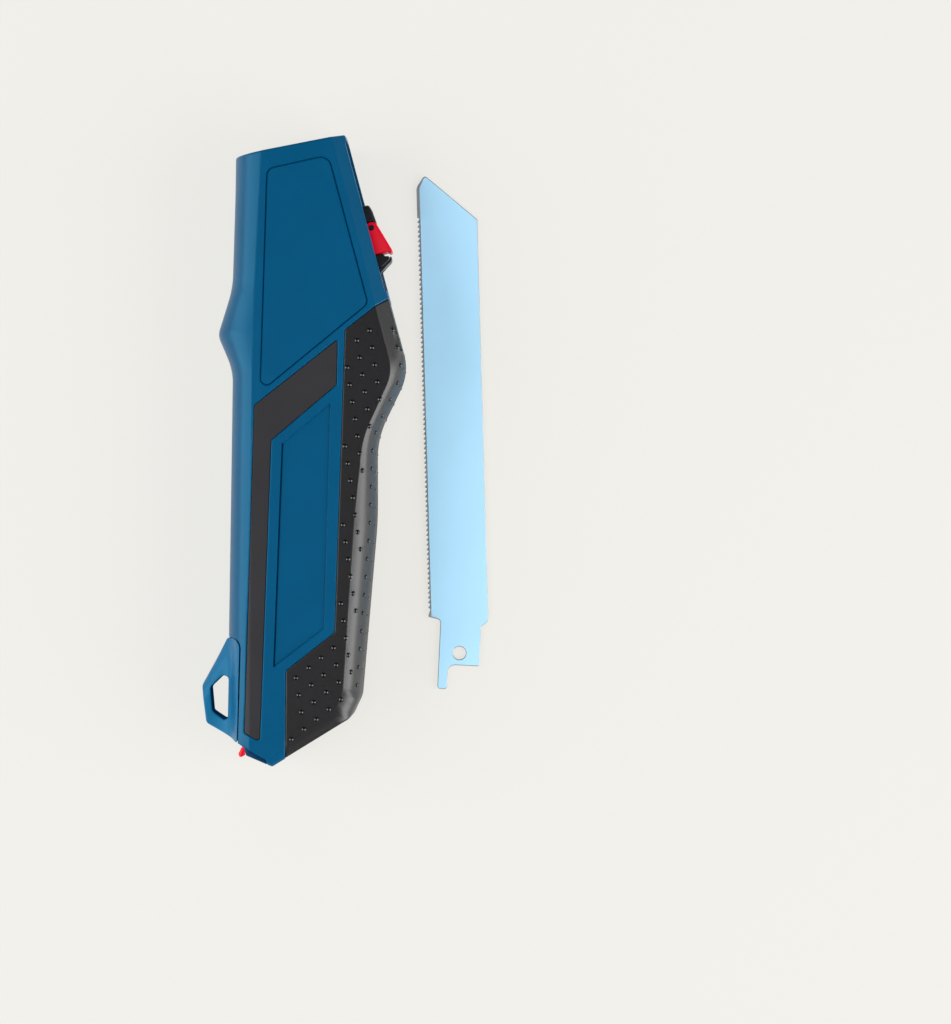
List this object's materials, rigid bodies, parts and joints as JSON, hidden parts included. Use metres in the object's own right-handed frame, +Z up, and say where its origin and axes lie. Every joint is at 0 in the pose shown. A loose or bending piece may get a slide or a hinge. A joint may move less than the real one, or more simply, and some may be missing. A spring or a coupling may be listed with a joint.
{
  "type": "multipurpose hand saw",
  "caption": "Hand saw with a two-shell plastic handle, rubber grips, sliding thumb carriage, red blade lock lever, blade storage with a latched lid, hanging loop and a separate saw blade.",
  "frame": {"origin": "on the flat side of the lower shell, under the head panel, on the surface that the saw lies on", "axes": "+Z up from the surface, +Y towards the front of the saw where the blade goes in, +X towards the palm side"},
  "size_m": [0.0819, 0.1775, 0.03],
  "materials": {
    "blue_plastic": "satin moulded",
    "black_rubber": "matt with raised dots",
    "grey_rubber": "matt",
    "black_plastic": "satin",
    "red_plastic": "semi-gloss",
    "bright_steel": "plated",
    "dark_steel": "rolled",
    "blade_paint": "painted steel, bare at the teeth"
  },
  "bodies": {
    "handle": {"shell_upper": "blue_plastic", "shell_lower": "blue_plastic", "palm_grip_upper": "black_rubber", "palm_grip_lower": "black_rubber", "finger_strip_upper": "grey_rubber", "finger_strip_lower": "grey_rubber", "screw_1": "bright_steel", "screw_2": "bright_steel", "screw_3": "bright_steel", "screw_4": "bright_steel", "screw_5": "bright_steel", "screw_6": "bright_steel", "hang_loop": "blue_plastic", "lid_hinge_pin": "bright_steel", "nose_guide": "black_plastic"},
    "carriage": {"carriage": "black_plastic", "lever_pin": "black_plastic", "slot_strip": "dark_steel", "peg_spring": "bright_steel", "drag_spring": "dark_steel"},
    "lock_lever": {"lock_lever": "red_plastic"},
    "lock_peg": {"lock_peg": "bright_steel"},
    "storage_lid": {"storage_lid": "blue_plastic", "latch_spring": "bright_steel"},
    "lid_latch": {"lid_latch": "red_plastic"},
    "saw_blade": {"saw_blade": "blade_paint"}
  },
  "joints": [
    {"name": "carriage_slide", "type": "slide", "parent": "handle", "child": "carriage", "axis": [-0.259, 0.9659, 0], "range_m": [0, 0.015]},
    {"name": "lever_hinge", "type": "hinge", "parent": "carriage", "child": "lock_lever", "pos_m": [0.0195, 0.00904, 0.015], "axis": [0, 0, 1], "range_deg": [0, 35]},
    {"name": "peg_slide", "type": "slide", "parent": "carriage", "child": "lock_peg", "axis": [0, 0, 1], "range_m": [0, 0.0024], "stiffness_N_per_m": 400, "springref_m": -0.004, "deforming": ["peg_spring"]},
    {"name": "lid_hinge", "type": "hinge", "parent": "handle", "child": "storage_lid", "pos_m": [-0.00848, -0.14127, 0.015], "axis": [0, 0, 1], "range_deg": [0, 100]},
    {"name": "latch_slide", "type": "slide", "parent": "storage_lid", "child": "lid_latch", "axis": [0.9171, -0.3987, 0], "range_m": [0, 0.0015], "stiffness_N_per_m": 300, "springref_m": -0.002, "deforming": ["latch_spring"]},
    {"name": "blade_lift", "type": "slide", "parent": "handle", "child": "saw_blade", "axis": [0, 0, 1], "range_m": [0, 0.06]}
  ],
  "couplings": [
    {"joint": "lever_hinge", "follows": "peg_slide", "rad_per_m": 254.5}
  ]
}
